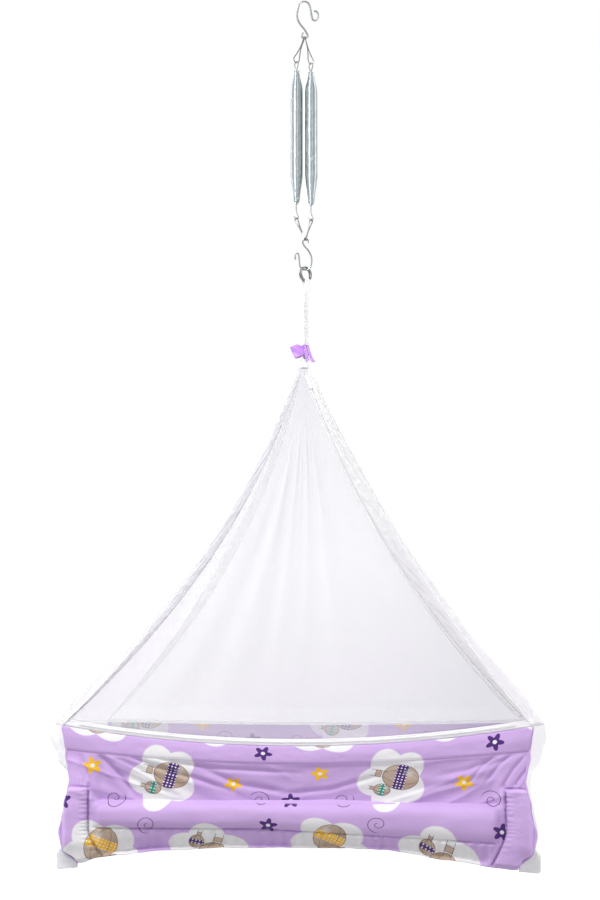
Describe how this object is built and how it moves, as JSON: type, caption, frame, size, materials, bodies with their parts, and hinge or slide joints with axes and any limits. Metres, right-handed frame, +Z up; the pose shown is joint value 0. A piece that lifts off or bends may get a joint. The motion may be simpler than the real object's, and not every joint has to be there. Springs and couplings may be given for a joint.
{
  "type": "hanging baby cradle",
  "caption": "Cloth baby cradle with a net tent and printed padded bed, hung by straps, rings and two extension springs from one ceiling hook.",
  "frame": {"origin": "the point where the ceiling fixing carries the top hook, inside the top of its upper bend", "axes": "+Z up along the chain, +X along the bed to the right, -Y to the front of the cradle"},
  "size_m": [0.8796, 0.4105, 1.626],
  "materials": {
    "zinc": "bright zinc plated spring wire",
    "steel": "polished steel",
    "webbing": "woven cotton tape",
    "ribbon": "satin ribbon",
    "net": "fine open mosquito net",
    "satin": "white satin",
    "zip_white": "white zip tape and coil",
    "facing": "plain light cotton",
    "lilac": "printed cotton"
  },
  "bodies": {
    "ceiling_hook": {"top_hook": "zinc"},
    "spring_set": {"left_upper_link": "zinc", "right_upper_link": "zinc", "left_spring_top_eye": "zinc", "right_spring_top_eye": "zinc", "left_spring_coil": "zinc", "right_spring_coil": "zinc"},
    "lower_rig": {"left_spring_bottom_eye": "zinc", "right_spring_bottom_eye": "zinc", "left_lower_link": "zinc", "right_lower_link": "zinc"},
    "hook_body": {"lower_hook": "zinc"},
    "ring_pair": {"front_ring": "steel", "back_ring": "steel"},
    "cradle": {"left_strap": "webbing", "right_strap": "webbing", "ribbon_band": "ribbon", "ribbon_loop": "ribbon", "ribbon_front_tail": "ribbon", "ribbon_side_tail": "ribbon", "front_net": "net", "back_net": "net", "apex_gather": "satin", "front_left_band": "satin", "front_right_band": "satin", "back_left_band": "satin", "back_right_band": "satin", "left_end_gore": "satin", "right_end_gore": "satin", "left_end_panel": "satin", "right_end_panel": "satin", "left_corner_point": "satin", "right_corner_point": "satin", "back_rim_band": "satin", "front_rim_zip_tape": "zip_white", "front_rim_zip_chain": "zip_white", "ridge_zip_chain": "zip_white", "front_facing": "facing", "back_facing": "facing", "front_panel": "lilac", "back_panel": "lilac", "front_bolster": "lilac", "back_bolster": "lilac", "left_end_pad": "lilac", "right_end_pad": "lilac", "base_cover": "lilac", "base_mat": "lilac"},
    "slider": {"zip_slider": "steel"},
    "pull": {"zip_pull": "steel"}
  },
  "joints": [
    {"name": "swing_front_back", "type": "hinge", "parent": "ceiling_hook", "child": "spring_set", "pos_m": [0.0012, 0, -0.0736], "axis": [1, 0, 0], "range_deg": [-20, 20]},
    {"name": "bounce", "type": "slide", "parent": "spring_set", "child": "lower_rig", "axis": [0, 0, -1], "range_m": [0, 0.15], "stiffness_N_per_m": 800, "springref_m": -0.1, "deforming": ["left_spring_coil", "right_spring_coil"]},
    {"name": "turn_about_vertical", "type": "hinge", "parent": "lower_rig", "child": "hook_body", "pos_m": [0.0024, 0, -0.4786], "axis": [0, 0, 1], "range_deg": [-15, 15], "stiffness_Nm_per_rad": 0.3},
    {"name": "sway_lengthwise", "type": "hinge", "parent": "hook_body", "child": "ring_pair", "pos_m": [0.0024, 0, -0.52135], "axis": [0, 1, 0], "range_deg": [-12, 12]},
    {"name": "strap_swing", "type": "hinge", "parent": "ring_pair", "child": "cradle", "pos_m": [0.0024, 0, -0.55394], "axis": [0.6428, 0.766, 0], "range_deg": [-12, 12]},
    {"name": "zip_run", "type": "hinge", "parent": "cradle", "child": "slider", "pos_m": [1.59174, 0.11719, -0.27076], "axis": [0, -0.9636, 0.2673], "range_deg": [0, 24.5]},
    {"name": "pull_lift", "type": "hinge", "parent": "slider", "child": "pull", "pos_m": [0.00779, -0.01957, -0.74274], "axis": [-0.955, -0.0793, -0.2857], "range_deg": [0, 100]}
  ]
}
